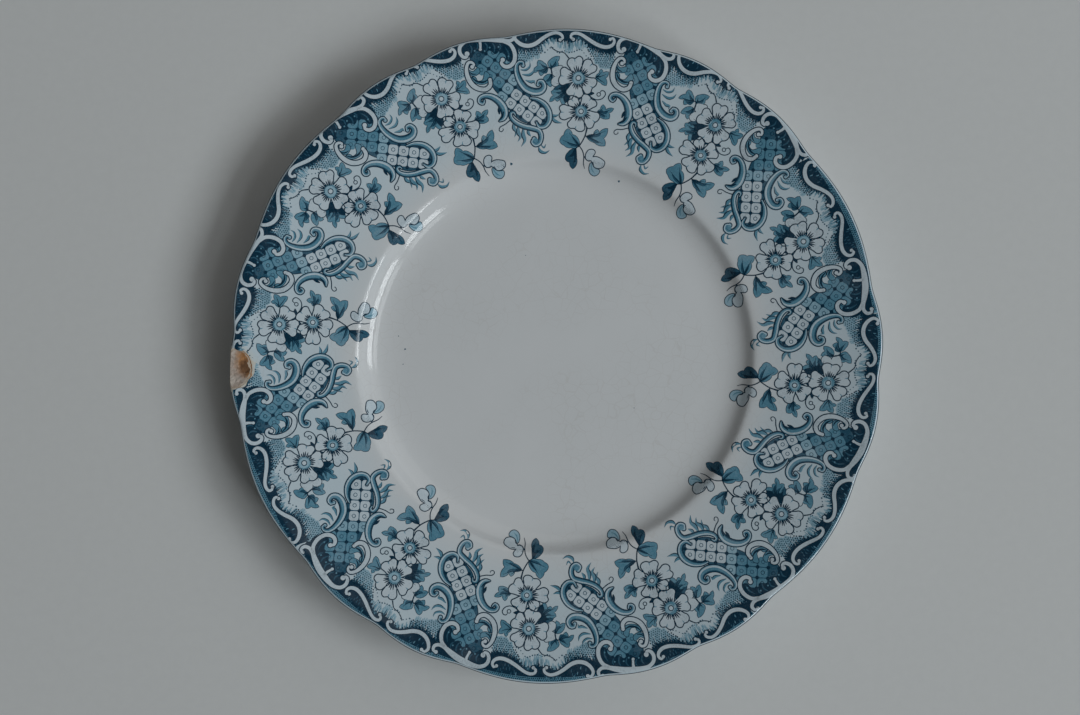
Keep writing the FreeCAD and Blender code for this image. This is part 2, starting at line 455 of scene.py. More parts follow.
leaf([(6.2, 84.7), (8.8, 85.5), (10.2, 87.6), (11.0, 86.3), (14.2, 88.2), (12.8, 84.3), (13.5, 81.5),
      (9.2, 82.6)], [(10.2, 86.8), (13.4, 87.2), (12.6, 82.3)])
leaf([(3.3, 80.9), (2.7, 83.8), (0.5, 85.2), (-1.3, 87.4), (-2.8, 84.9), (-4.3, 82.5), (-2.6, 81.0),
      (0.2, 80.1)], [(-0.8, 86.0), (-3.2, 82.9), (0.6, 84.4)])
leaf([(1.9, 79.8), (-0.9, 78.2), (-1.8, 75.7), (-0.1, 74.6), (1.3, 72.2), (2.8, 74.9), (1.6, 77.2)],
     [(-1.0, 76.2), (1.2, 73.2)], "blue", "deep")
blob("reserve", 2, [(-5.2, 111.2), (-7.4, 111.0), (-9.1, 110.2), (-9.0, 108.3), (-7.4, 107.2),
                    (-5.2, 107.2)], 0.28)
blob("reserve", 2, [(-5.6, 106.8), (-7.6, 107.2), (-9.1, 105.9), (-8.7, 104.2), (-7.3, 103.5),
                    (-5.8, 104.6)], 0.28)
blob("reserve", 3, [(7.6, 75.4), (6.3, 76.2), (6.3, 78.0), (7.4, 79.5), (9.1, 79.6), (9.7, 78.6),
                    (8.9, 77.2), (8.6, 76.1)], 0.36)
blob("reserve", 3, [(8.8, 76.7), (10.6, 76.9), (12.3, 76.2), (13.7, 75.1), (13.2, 73.4), (11.4, 72.8),
                    (9.8, 73.3), (9.4, 74.6), (8.3, 75.6)], 0.36)
blob("pale", 3, [(8.4, 74.6), (7.8, 72.8), (8.4, 70.8), (10.0, 69.9), (11.5, 70.6), (12.0, 72.0),
                 (10.8, 72.4), (9.6, 73.0)], 0.30)
stroke("mid", 5, [(8.5, 74.2, 0.3), (8.9, 72.2, 0.5), (10.2, 70.8, 0.1)])
for stem in (
    [(6.3, 88.9, 0.8), (5.9, 86.6, 0.55), (5.3, 84.4, 0.45), (3.9, 81.7, 0.45), (3.0, 80.6, 0.5)],
    [(3.4, 81.0, 0.4), (4.8, 79.0, 0.4), (5.4, 76.8, 0.4), (5.4, 74.4, 0.35), (6.0, 72.4, 0.2)],
    [(5.4, 85.0, 0.4), (6.4, 84.7, 0.5), (8.6, 84.6, 0.3)],
    [(5.6, 77.0, 0.3), (6.6, 75.6, 0.4), (8.6, 75.5, 0.5)],
    [(1.9, 79.7, 0.4), (2.6, 80.4, 0.4), (3.3, 80.9, 0.4)],
    [(-11.4, 110.3, 0.3), (-9.8, 110.3, 0.5), (-8.9, 108.0, 0.4), (-9.2, 106.9, 0.3)],
    [(-3.0, 114.4, 0.5), (-4.4, 115.9, 0.4), (-5.4, 116.5, 0.35), (-7.4, 116.7, 0.35), (-9.2, 117.5, 0.35),
     (-10.4, 118.5, 0.35)],
    [(5.6, 101.3, 0.5), (7.2, 99.8, 0.4), (9.4, 99.0, 0.38), (11.4, 99.6, 0.36), (12.5, 101.2, 0.36),
     (12.0, 102.4, 0.36), (10.9, 102.6, 0.36), (10.3, 101.7, 0.2)],
):
    stroke("deep", 4, stem)
ringLine("deep", 4, 9.9, 101.1, 0.7, 0.3)
print("stage: spray drawn")

# the scrolled cartouche and its trellis

trellis = {
    "edge": [(18.6, 116.6), (19.6, 112.6), (21.4, 109.4), (22.4, 106.2), (21.9, 103.0), (22.9, 98.6),
             (23.6, 94.0), (24.4, 90.6), (26.0, 87.2), (29.2, 84.2), (31.8, 82.6), (34.4, 82.2),
             (36.4, 84.6), (37.0, 88.0), (35.4, 91.4), (33.6, 94.0), (32.6, 97.4), (31.9, 101.0),
             (32.2, 105.0), (33.0, 108.2), (34.6, 112.0), (33.8, 117.0), (28.0, 120.4), (22.0, 121.6)],
    "centre": (23.2, 98.3), "down": (2.05, -3.55), "across": (3.55, 2.05), "half": 1.86,
}


def cell(cx, cy, half, tone):
    tilt = math.atan2(trellis["across"][1], trellis["across"][0])
    angles = np.arange(20) * math.tau / 20
    reach = half / (np.abs(np.cos(angles)) ** 5 + np.abs(np.sin(angles)) ** 5) ** 0.2
    ring = np.stack([cx + reach * np.cos(angles + tilt), cy + reach * np.sin(angles + tilt)], 1)
    fill(tone, 3, ring)


edge = smoothPath(trellis["edge"], True)
fill("deep", 0, grown(edge, 0.3))
fill("blue", 1, edge)
down, across = np.array(trellis["down"]), np.array(trellis["across"])
for i in range(-6, 6):
    for j in range(-5, 6):
        cx, cy = trellis["centre"] + i * down + j * across
        knot = (cx, cy) + (down + across) / 2
        if inside(edge, knot[:1], knot[1:])[0]:
            dot("deep", 4, *knot, 0.72, 8)
        if cy > 119 or not inside(edge, np.array([cx]), np.array([cy]))[0]:
            continue
        tone = "reserve" if cy < 98 else "pale" if cy < 103 else "mid" if cy < 116 else "blue"
        cell(cx, cy, trellis["half"], tone)
        ringLine("blue" if cy < 113 else "deep", 5, cx, cy, 0.68, 0.24)

deepLeaf = [(17.2, 119.0), (17.2, 121.0), (19.4, 122.6), (22.0, 122.4), (24.4, 121.6), (27.0, 120.8),
            (30.2, 119.0), (32.6, 117.0), (34.1, 113.6), (33.8, 110.8), (32.2, 109.2), (31.0, 110.4),
            (31.4, 112.4), (30.2, 114.6), (28.2, 114.2), (26.6, 116.4), (24.0, 116.2), (22.0, 118.2),
            (19.8, 117.4)]
blob("deep", 5.5, deepLeaf)
for rib in (
    [(19.8, 118.4, 0.3), (20.8, 120.0, 0.6), (20.4, 121.6, 0.1)],
    [(22.4, 118.8, 0.3), (23.4, 120.0, 0.5), (23.0, 121.4, 0.1)],
    [(25.6, 116.8, 0.3), (26.6, 118.4, 0.6), (26.0, 120.2, 0.1)],
    [(27.9, 115.0, 0.3), (29.0, 116.8, 0.6), (28.8, 119.0, 0.1)],
    [(30.2, 115.0, 0.3), (31.2, 115.9, 0.6), (31.2, 117.4, 0.1)],
    [(32.0, 110.4, 0.3), (32.9, 112.6, 0.6), (32.6, 115.2, 0.1)],
):
    stroke("blue", 6, rib)
for x, y in ((18.4, 119.6), (27.2, 117.4), (30.4, 116.2), (32.4, 111.4), (24.9, 117.0), (21.4, 118.6)):
    dot("mid", 6.3, x, y, 0.35, 6)

scroll([(17.9, 113.4, 0.9), (18.9, 113.9, 0.9), (18.4, 115.1, 1.0), (17.0, 115.3, 1.1),
        (15.4, 113.4, 1.3), (14.6, 110.2, 1.6), (15.0, 107.0, 1.7), (16.6, 104.7, 1.6),
        (19.0, 103.5, 1.5), (21.2, 104.3, 1.4), (22.0, 106.2, 1.2)], ends=(0.75, 0.7))
scroll([(18.2, 118.7, 1.1), (17.5, 117.7, 1.2), (16.3, 118.2, 1.3), (15.8, 120.2, 1.4),
        (16.8, 122.2, 1.4), (19.2, 123.2, 1.5), (22.0, 122.9, 1.9), (25.0, 122.0, 2.3),
        (28.0, 120.8, 2.4), (31.0, 119.0, 2.1), (33.6, 117.2, 1.5), (35.8, 116.4, 1.3),
        (37.6, 117.0, 1.3), (37.9, 118.6, 1.1), (36.8, 119.2, 0.9)], ends=(0.95, 0.75))
stroke("reserve", 8, [(24.8, 122.2, 1.3), (24.5, 120.2, 1.0), (23.6, 118.2, 0.8)])
dot("reserve", 8, 23.6, 118.2, 0.6)
scroll([(33.2, 117.2, 1.4), (34.9, 115.0, 1.4), (35.1, 111.8, 1.5), (33.8, 109.0, 1.5),
        (31.4, 107.8, 1.5), (29.4, 108.5, 1.4), (28.8, 110.2, 1.2), (29.8, 111.1, 0.9)],
       ends=(0.4, 0.85))
scroll([(16.4, 99.8, 0.5), (15.5, 98.9, 0.9), (14.5, 99.9, 1.1), (15.2, 101.2, 1.2), (17.2, 101.4, 1.5),
        (19.5, 100.1, 1.9), (21.3, 97.5, 2.3), (22.0, 94.3, 2.5), (21.3, 91.7, 2.1),
        (19.9, 90.4, 1.3), (18.3, 90.2, 0.3)], body="pale", dark="mid")
scroll([(25.0, 89.8, 0.4), (25.0, 91.0, 0.7), (23.7, 91.3, 0.9), (23.1, 89.5, 1.2), (24.1, 86.9, 1.5),
        (26.3, 84.5, 1.6), (28.9, 82.6, 1.7), (31.0, 80.6, 1.6), (30.9, 78.2, 1.5), (29.4, 76.3, 1.4),
        (27.6, 76.2, 1.3), (26.9, 77.7, 1.1), (28.0, 78.5, 0.9)],
       body="pale", dark="mid", ends=(0, 0.7))
dot("mid", 9.5, 28.4, 77.6, 0.95, 12)
scroll([(33.2, 93.4, 0.5), (35.6, 91.6, 1.2), (37.4, 88.6, 1.7), (37.6, 85.2, 1.9), (36.2, 82.4, 1.7),
        (33.8, 81.2, 1.4), (31.8, 82.0, 1.1), (31.5, 83.9, 0.5)], body="pale", dark="mid")
scroll([(36.0, 105.9, 0.7), (36.4, 106.9, 0.9), (35.3, 107.6, 1.0), (33.7, 106.9, 1.2),
        (32.6, 104.5, 1.6), (32.3, 101.0, 2.0), (33.1, 97.6, 2.3), (35.3, 95.1, 2.4),
        (38.0, 94.1, 2.2), (40.0, 95.0, 1.8), (40.2, 97.0, 1.4), (38.9, 97.7, 1.0),
        (38.2, 96.8, 0.7)], body="pale", dark="mid", side=-1, ends=(0.6, 0.6))
blob("mid", 5.4, [(15.9, 112.8), (17.4, 111.6), (19.8, 112.2), (19.6, 110.4), (17.5, 109.9), (16.2, 110.6)],
     0.25)
blob("mid", 5.4, [(15.6, 109.9), (17.2, 109.2), (17.4, 107.6), (19.4, 107.2), (21.6, 109.6), (22.6, 108.0),
                (21.2, 105.8), (18.6, 105.8), (16.4, 107.4)], 0.25)
stroke("deep", 6.6, [(16.0, 110.0, 0.3), (17.0, 107.8, 0.7), (19.2, 106.4, 0.8), (21.4, 106.6, 0.2)])
stroke("deep", 6.6, [(16.0, 112.4, 0.2), (16.6, 111.0, 0.6), (18.2, 110.2, 0.2)])
stroke("deep", 9.5, [(20.6, 95.6, 0.3), (19.9, 94.0, 1.1), (19.4, 92.6, 0.3)])
stroke("deep", 9.5, [(21.4, 93.0, 0.3), (19.9, 91.3, 0.9), (18.2, 90.7, 0.2)])
stroke("deep", 4, [(22.3, 88.9, 0.4), (19.8, 88.2, 0.38), (17.6, 88.0, 0.36), (16.7, 87.0, 0.34),
                   (17.3, 86.1, 0.34), (18.4, 86.6, 0.3), (18.2, 87.2, 0.1)])
stroke("deep", 4, [(33.4, 94.0, 0.3), (36.4, 91.8, 0.4), (38.6, 88.6, 0.2)])
stroke("deep", 3, [(36.2, 115.6, 0.8), (36.6, 113.0, 0.9), (36.2, 110.4, 0.2)])
for tip in (
    [(23.4, 87.8, 0.4), (22.3, 85.6, 1.5), (22.6, 83.8, 1.0), (21.1, 82.2, 0.1)],
    [(24.4, 85.8, 0.4), (23.2, 83.4, 1.7), (23.3, 81.4, 1.1), (21.6, 80.1, 0.1)],
    [(25.8, 84.2, 0.4), (24.6, 81.6, 1.7), (24.3, 79.4, 1.2), (22.1, 77.8, 0.1)],
    [(27.4, 83.0, 0.4), (26.8, 81.6, 1.3), (27.2, 79.9, 0.2)],
    [(34.4, 104.8, 0.3), (36.2, 103.9, 0.9), (38.2, 104.4, 0.7), (38.9, 105.9, 0.1)],
    [(34.2, 102.9, 0.3), (36.6, 101.6, 1.1), (38.6, 102.0, 0.8), (39.7, 103.4, 0.1)],
    [(34.4, 100.4, 0.3), (36.2, 98.8, 1.2), (37.4, 98.6, 0.9), (37.0, 97.4, 0.1)],
    [(38.0, 84.8, 0.3), (38.9, 83.2, 1.2), (41.0, 82.9, 0.1)],
    [(37.9, 84.0, 0.3), (38.3, 81.4, 1.4), (40.6, 79.4, 0.1)],
    [(28.4, 75.0, 0.3), (28.3, 73.2, 1.3), (29.8, 71.8, 0.9), (31.8, 72.0, 0.1)],
    [(29.6, 75.2, 0.3), (30.2, 73.8, 0.7), (31.4, 74.8, 0.1)],
):
    finger(tip)
print("stage: cartouche drawn")

# the border along the lip

border = {
    "inner": [(-26.6, 117.2), (-22.5, 116.8), (-18.6, 116.8), (-15.2, 118.2), (-12.6, 120.6),
              (-10.0, 121.8), (-7.6, 120.8), (-5.4, 121.0), (-3.6, 120.4), (-1.6, 121.4), (1.0, 121.6),
              (4.0, 119.8), (7.0, 118.0), (11.0, 117.2), (15.0, 117.4), (15.6, 119.6), (17.4, 122.4),
              (22.0, 121.8), (27.0, 119.8), (31.0, 117.8), (34.5, 115.6), (37.8, 114.4)],
    "deepTo": 125.2, "firstTurn": -12.4, "lastTurn": 18.0, "dotGap": 0.80,
}
inner = smoothPath(border["inner"])
outer = polarArc(border["deepTo"], border["lastTurn"], border["firstTurn"], 60)
fill("deep", 2, np.vstack([inner, outer]))
fill("mid", 1, np.vstack([polarArc(border["deepTo"] - 0.8, border["firstTurn"], border["lastTurn"], 60),
                          polarArc(border["deepTo"] + 4, border["lastTurn"], border["firstTurn"], 60)]))
draw = random.Random(7)
for row in range(4):
    radius = border["deepTo"] + 0.45 + 0.72 * row
    count = int(math.radians(30) * radius / border["dotGap"])
    for i in range(count):
        turn = border["firstTurn"] + 30 * (i + 0.5 * (row % 2)) / count
        x, y = polarArc(radius + draw.uniform(-0.08, 0.08), turn, turn, 1)[0]
        dot("deep", 3, x, y, draw.uniform(0.24, 0.33), 6)
scroll([(-23.0, 123.2, 0.8), (-24.4, 123.2, 1.0), (-25.0, 121.6, 1.2), (-23.8, 119.7, 1.35),
        (-21.6, 118.4, 1.5), (-18.9, 118.2, 1.5), (-16.2, 119.3, 1.5), (-13.6, 121.5, 1.4),
        (-11.0, 123.2, 1.3), (-8.6, 123.8, 1.2), (-6.7, 123.1, 1.1), (-6.1, 121.9, 1.0),
        (-7.0, 121.2, 0.8)], ends=(0.7, 0.65))
scroll([(-1.9, 121.6, 0.8), (-2.9, 122.3, 1.0), (-2.7, 123.5, 1.1), (-1.2, 124.0, 1.2),
        (0.8, 123.6, 1.2), (3.2, 122.3, 1.3), (5.8, 120.8, 1.4), (8.6, 119.6, 1.4), (11.2, 119.2, 1.4),
        (13.3, 119.9, 1.3), (14.2, 121.4, 1.1), (13.5, 122.7, 1.0), (12.5, 122.2, 0.7)],
       ends=(0.65, 0.65))
# short hatching in the dark ground, in boxes of x and y
for lowX, highX, lowY, highY in ((-23.4, -15.5, 119.8, 124.4), (-2.0, 4.0, 121.4, 122.4),
                                 (4.6, 13.2, 120.8, 124.6), (-15.0, -6.0, 123.8, 124.8),
                                 (18.0, 25.0, 122.6, 124.2), (26.0, 33.0, 118.0, 121.0)):
    for i in range(int((highX - lowX) / 0.62)):
        x = lowX + 0.62 * i + draw.uniform(-0.15, 0.15)
        y = draw.uniform(lowY, highY - 0.6)
        tone = draw.choice(("blue", "blue", "mid"))
        stroke(tone, 3, [(x, y, 0.15), (x + 0.15, y + 0.7, 0.45), (x, y + draw.uniform(1.0, 1.7), 0.1)])
for bead in range(30):  # beads along the inner side of the scrolls
    x = -26.0 + 1.38 * bead
    y = np.interp(x, inner[:, 0], inner[:, 1]) - 0.25
    if x < 15:
        dot("deep", 4, x, y, draw.uniform(0.28, 0.48), 7)


def ragged(tone, layer, reach, width, gap, chance):
    # upright streaks of uneven length hanging from the inner side of the border
    x = -26.4
    while x < 14.6:
        top = np.interp(x, inner[:, 0], inner[:, 1]) + 0.4
        calm = 0.55 + 0.45 * math.sin((x + 26) / 5.1) ** 2
        long = reach * draw.uniform(0.45, 1.0) * calm
        sway = draw.uniform(-0.25, 0.25) - 0.05 * x
        wide = width * draw.uniform(0.7, 1.25)
        if draw.random() < chance:
            stroke(tone, layer, [(x, top, wide), (x + sway / 2, top - long / 2, wide),
                                 (x + sway, top - long, 0.35 * wide)])
        x += gap * draw.uniform(0.7, 1.3)


ragged("pale", 0, 5.4, 0.85, 0.55, 1.0)
ragged("mid", 1, 4.4, 0.42, 0.75, 0.75)
ragged("reserve", 2, 4.2, 0.34, 1.30, 0.6)
ragged("blue", 3, 3.3, 0.34, 0.95, 0.7)
ragged("deep", 3, 2.2, 0.30, 1.25, 0.7)
for i in range(26):  # a dotted edge under the streaks
    x = -12.5 + 0.95 * i
    y = np.interp(x, inner[:, 0], inner[:, 1]) - 4.1 + 0.45 * math.sin(x * 1.1)
    if x < 9:
        dot("blue", 1, x, y, draw.uniform(0.20, 0.34), 6)
stipples = (
    [(-27.4, 117.6), (-19.0, 117.2), (-15.0, 118.2), (-12.8, 116.6), (-16.0, 114.4), (-20.0, 112.0),
     (-24.0, 109.8), (-27.6, 111.6)],
    [(3.8, 119.4), (14.6, 117.8), (13.8, 112.0), (11.6, 110.2), (8.8, 112.2), (5.6, 115.6)],
)
for patch in stipples:
    patch = smoothPath(patch, True)
    low, high = patch.min(0), patch.max(0)
    fill("pale", 0, grown(patch, -0.5))
    rows = int((high[1] - low[1]) / 0.78)
    for row in range(rows):
        for column in range(int((high[0] - low[0]) / 0.92) + 1):
            x = low[0] + 0.92 * (column + 0.5 * (row % 2)) + draw.uniform(-0.12, 0.12)
            y = high[1] - 0.78 * row + draw.uniform(-0.12, 0.12)
            if inside(patch, np.array([x]), np.array([y]))[0]:
                dot("deep" if row < rows / 2 else "blue", 2, x, y, 0.37 - 0.13 * row / rows, 6)
                if row > rows * 0.55:
                    dot("pale", 1, x, y, 0.75, 8)
print("stage: border drawn,", len(art), "shapes")

# finishes

finish = {
    "glaze": (0.805, 0.832, 0.855), "glazeGrey": (0.735, 0.762, 0.780), "glazeBleed": (0.600, 0.755, 0.850),
    "stain": (0.74, 0.58, 0.38), "stainPale": (0.80, 0.74, 0.59),
    "biscuit": (0.46, 0.36, 0.27), "biscuitPale": (0.62, 0.53, 0.43),
    "scarGrey": (0.42, 0.325, 0.27), "scarPale": (0.66, 0.59, 0.53),
    "scarBrown": (0.12, 0.068, 0.042), "scarRust": (0.52, 0.235, 0.075),
    "poolShow": 0.35, "bleedShow": 0.75, "stainShow": 0.42, "deepShow": 0.55,
    "thinShow": 0.85, "heavyShow": 0.70, "rustShow": 0.92, "brownShow": 0.70,
    "gloss": 0.07, "wear": 0.5, "crack": (0.34, 0.27, 0.20), "crazeSize": 210.0, "crazeShow": 0.10,
    "bend": 1.5,  # how strongly the coat bends light
    "thinInk": {"deep": 0.05, "blue": 0.11, "mid": 0.20, "pale": 0.28, "reserve": 0.3},
}
chip = {
    "turn": 267.8, "centreR": 126.3, "halfWide": 7.7, "deep": 2.5,
    "printFrom": lipR + 0.6, "printHalf": 8.1, "printReach": 10.2,  # bare of print round the scar
    "inward": 1.9, "stretchIn": 1.30,  # the scoop reaches further in than across
    # stains in the scar: how far in and along their middle is, then where they start and stop fading
    "rust": (8.0, 2.6, 0.32, 0.60), "brown": (5.0, 0.3, 0.0, 0.13), "scarZ": 20.0, "spotZ": 21.5,
    "glazeBack": 0.32,  # how far the glaze broke back from the body
}
chipWay = np.array([math.sin(math.radians(chip["turn"])), math.cos(math.radians(chip["turn"]))])
chipAlong = np.array([chipWay[1], -chipWay[0]])
chipSpot = (*(chipWay * chip["centreR"] * mm), chip["spotZ"] * mm)


def newGroup(name, inputs, outputs):
    # every group takes its place on the piece; a tuple makes a vector socket
    group = bpy.data.node_groups.new(name, "ShaderNodeTree")
    group.interface.new_socket("Place", in_out="INPUT", socket_type="NodeSocketVector")
    for label, value in inputs.items():
        kind = "NodeSocketVector" if isinstance(value, tuple) else "NodeSocketFloat"
        group.interface.new_socket(label, in_out="INPUT", socket_type=kind).default_value = value
    for label in outputs:
        group.interface.new_socket(label, in_out="OUTPUT", socket_type="NodeSocketFloat")
    return group, group.nodes.new("NodeGroupInput"), group.nodes.new("NodeGroupOutput")


def add(tree, kind, **values):
    # a node with its properties and socket values set by name
    node = tree.nodes.new("ShaderNode" + kind)
    for key, value in values.items():
        label = key.replace("_", " ")
        if hasattr(node, key):
            setattr(node, key, value)
        elif isinstance(value, bpy.types.NodeSocket):
            tree.links.new(value, node.inputs[label])
        else:
            node.inputs[label].default_value = value
    return node


def ramp(tree, source, stops):
    node = tree.nodes.new("ShaderNodeValToRGB")
    tree.links.new(source, node.inputs["Fac"])
    while len(node.color_ramp.elements) < len(stops):
        node.color_ramp.elements.new(0.5)
    for element, (place, value) in zip(node.color_ramp.elements, stops):
        element.position = place
        element.color = (*value, 1) if isinstance(value, tuple) else (value, value, value, 1)
    return node.outputs["Color"]


def mixed(tree, share, one, two):
    # a colour between two, each a socket or a plain colour
    node = tree.nodes.new("ShaderNodeMix")
    node.data_type = "RGBA"
    sockets = {"Factor": share, "A": one, "B": two}
    for socket in node.inputs:
        if socket.name in sockets and socket.type == ("VALUE" if socket.name == "Factor" else "RGBA"):
            value = sockets[socket.name]
            if isinstance(value, bpy.types.NodeSocket):
                tree.links.new(value, socket)
            else:
                socket.default_value = (*value, 1) if isinstance(value, tuple) else value
    return [socket for socket in node.outputs if socket.type == "RGBA"][0]


def times(tree, one, two, way="MULTIPLY"):
    # a maths node on two sockets or numbers
    node = tree.nodes.new("ShaderNodeMath")
    node.operation = way
    for socket, value in zip(node.inputs, (one, two)):
        if isinstance(value, bpy.types.NodeSocket):
            tree.links.new(value, socket)
        else:
            socket.default_value = value
    return node.outputs[0]


def makeGlazeFilm():
    # the fired coat: slow pooling, fine wear and orange-peel height
    group, taken, given = newGroup("glazeFilm", {"Gloss": 0.07, "Wear": 0.5},
                                   ("Pooling", "Roughness", "Height"))
    place = taken.outputs["Place"]
    pooling = add(group, "TexNoise", Vector=place, Scale=26.0, Detail=4.0, Roughness=0.6)
    scuff = add(group, "TexNoise", Vector=place, Scale=420.0, Detail=5.0, Roughness=0.7)
    scuffed = ramp(group, scuff.outputs["Fac"], ((0.45, 0.0), (0.75, 1.0)))
    rough = times(group, times(group, scuffed, taken.outputs["Wear"]), 0.10)
    rough = times(group, rough, taken.outputs["Gloss"], "ADD")
    peel = add(group, "TexNoise", Vector=place, Scale=340.0, Detail=2.0, Roughness=0.5)
    slow = add(group, "TexNoise", Vector=place, Scale=75.0, Detail=1.0, Roughness=0.4)
    height = times(group, times(group, peel.outputs["Fac"], 0.10), slow.outputs["Fac"], "ADD")
    pooled = ramp(group, pooling.outputs["Fac"], ((0.35, 0.0), (0.68, 1.0)))
    group.links.new(pooled, given.inputs["Pooling"])
    group.links.new(rough, given.inputs["Roughness"])
    group.links.new(height, given.inputs["Height"])
    return group


def makeCrazing():
    # hair-fine cracks in the coat, stronger in patches
    group, taken, given = newGroup("crazing", {"Size": 200.0, "Show": 0.1},
                                   ("Cracks",))
    place = taken.outputs["Place"]
    bend = add(group, "TexNoise", Vector=place, Scale=120.0, Detail=2.0)
    warped = add(group, "VectorMath", operation="MULTIPLY_ADD")
    group.links.new(bend.outputs["Color"], warped.inputs[0])
    warped.inputs[1].default_value = (0.004, 0.004, 0.004)
    group.links.new(place, warped.inputs[2])
    net = add(group, "TexVoronoi", feature="DISTANCE_TO_EDGE", Vector=warped.outputs[0],
              Scale=taken.outputs["Size"])
    lines = ramp(group, net.outputs["Distance"], ((0.0, 1.0), (0.035, 0.0)))
    patch = add(group, "TexNoise", Vector=place, Scale=32.0, Detail=2.0)
    patches = ramp(group, patch.outputs["Fac"], ((0.42, 0.0), (0.62, 1.0)))
    cracks = times(group, times(group, lines, patches), taken.outputs["Show"])
    group.links.new(cracks, given.inputs["Cracks"])
    return group


def makeIronStain():
    # rust soaked into the coat round the old chip
    group, taken, given = newGroup("ironStain", {"Spot": chipSpot, "Reach": 0.011},
                                   ("Stain", "Deep"))
    place = taken.outputs["Place"]
    away = add(group, "VectorMath", operation="DISTANCE")
    group.links.new(place, away.inputs[0])
    group.links.new(taken.outputs["Spot"], away.inputs[1])
    rag = add(group, "TexNoise", Vector=place, Scale=330.0, Detail=4.0)
    ragged = times(group, times(group, rag.outputs["Fac"], 0.5, "SUBTRACT"), 0.45)
    near = times(group, away.outputs["Value"], taken.outputs["Reach"], "DIVIDE")
    near = times(group, near, ragged, "ADD")
    group.links.new(ramp(group, near, ((0.70, 1.0), (0.98, 0.0))), given.inputs["Stain"])
    group.links.new(ramp(group, near, ((0.66, 1.0), (0.80, 0.0))), given.inputs["Deep"])
    return group


def makeFiredGrain():
    # coarse fired clay: pits and mottled colour
    group, taken, given = newGroup("firedGrain", {},
                                   ("Mottle", "Height"))
    place = taken.outputs["Place"]
    mottle = add(group, "TexNoise", Vector=place, Scale=260.0, Detail=5.0, Roughness=0.65)
    fine = add(group, "TexNoise", Vector=place, Scale=2200.0, Detail=3.0)
    height = times(group, mottle.outputs["Fac"], times(group, fine.outputs["Fac"], 0.4), "ADD")
    group.links.new(ramp(group, mottle.outputs["Fac"], ((0.36, 0.0), (0.64, 1.0))), given.inputs["Mottle"])
    group.links.new(height, given.inputs["Height"])
    return group


def makeInkGrain():
    # engraved tone: patchy take of the ink and the tooth of the tissue
    group, taken, given = newGroup("inkGrain", {"Tooth": 1700.0},
                                   ("Thin", "Heavy"))
    place = taken.outputs["Place"]
    slow = add(group, "TexNoise", Vector=place, Scale=95.0, Detail=3.0, Roughness=0.6)
    tooth = add(group, "TexNoise", Vector=place, Scale=taken.outputs["Tooth"], Detail=2.0, Roughness=0.6)
    slowPart = times(group, slow.outputs["Fac"], 0.55)
    both = times(group, slowPart, times(group, tooth.outputs["Fac"], 0.45), "ADD")
    group.links.new(ramp(group, both, ((0.47, 0.0), (0.66, 1.0))), given.inputs["Thin"])
    group.links.new(ramp(group, both, ((0.34, 1.0), (0.50, 0.0))), given.inputs["Heavy"])
    return group


glazeFilm, crazing, ironStain = makeGlazeFilm(), makeCrazing(), makeIronStain()
firedGrain, inkGrain = makeFiredGrain(), makeInkGrain()


def startMaterial(name, groups):
    # a material with its place in the piece led to each group
    material = bpy.data.materials.new(name)
    material.use_nodes = True
    tree = material.node_tree
    shader = tree.nodes["Principled BSDF"]
    place = tree.nodes.new("ShaderNodeTexCoord").outputs["Object"]
    placed = []
    for group in groups:
        node = tree.nodes.new("ShaderNodeGroup")
        node.node_tree = group
        tree.links.new(place, node.inputs["Place"])
        placed.append(node)
    return material, tree, shader, placed


def addBump(tree, shader, height, strength, distance):
    bump = tree.nodes.new("ShaderNodeBump")
    bump.inputs["Strength"].default_value = strength
    bump.inputs["Distance"].default_value = distance
    tree.links.new(height, bump.inputs["Height"])
    tree.links.new(bump.outputs["Normal"], shader.inputs["Normal"])


def inkBleed(tree):
    # blue that ran into the coat, on the printed rim only
    place = tree.nodes["Texture Coordinate"].outputs["Object"]
    flat = add(tree, "VectorMath", operation="MULTIPLY")
    tree.links.new(place, flat.inputs[0])
    flat.inputs[1].default_value = (1.0, 1.0, 0.0)
    reach = add(tree, "VectorMath", operation="LENGTH")
    tree.links.new(flat.outputs[0], reach.inputs[0])
    patch = add(tree, "TexNoise", Vector=place, Scale=60.0, Detail=3.0)
    reached = times(tree, reach.outputs["Value"], times(tree, patch.outputs["Fac"], 0.012), "ADD")
    return ramp(tree, times(tree, reached, 6.0), ((0.50, 0.0), (0.62, 1.0)))


def glazed(name, wear, bled):
    material, tree, shader, (coat, cracks, stain) = startMaterial(name, (glazeFilm, crazing, ironStain))
    coat.inputs["Gloss"].default_value = finish["gloss"]
    coat.inputs["Wear"].default_value = wear
    cracks.inputs["Size"].default_value = finish["crazeSize"]
    cracks.inputs["Show"].default_value = finish["crazeShow"]
    share = times(tree, coat.outputs["Pooling"], finish["poolShow"])
    colour = mixed(tree, share, finish["glaze"], finish["glazeGrey"])
    if bled:
        bleed = times(tree, inkBleed(tree), finish["bleedShow"])
        colour = mixed(tree, bleed, colour, finish["glazeBleed"])
    colour = mixed(tree, cracks.outputs["Cracks"], colour, finish["crack"])
    halo = times(tree, stain.outputs["Stain"], finish["stainShow"])
    colour = mixed(tree, halo, colour, finish["stainPale"])
    rim = times(tree, stain.outputs["Deep"], finish["deepShow"])
    colour = mixed(tree, rim, colour, finish["stain"])
    tree.links.new(colour, shader.inputs["Base Color"])
    tree.links.new(coat.outputs["Roughness"], shader.inputs["Roughness"])
    shader.inputs["IOR"].default_value = finish["bend"]
    addBump(tree, shader, coat.outputs["Height"], strength=0.12, distance=0.0004)
    return material


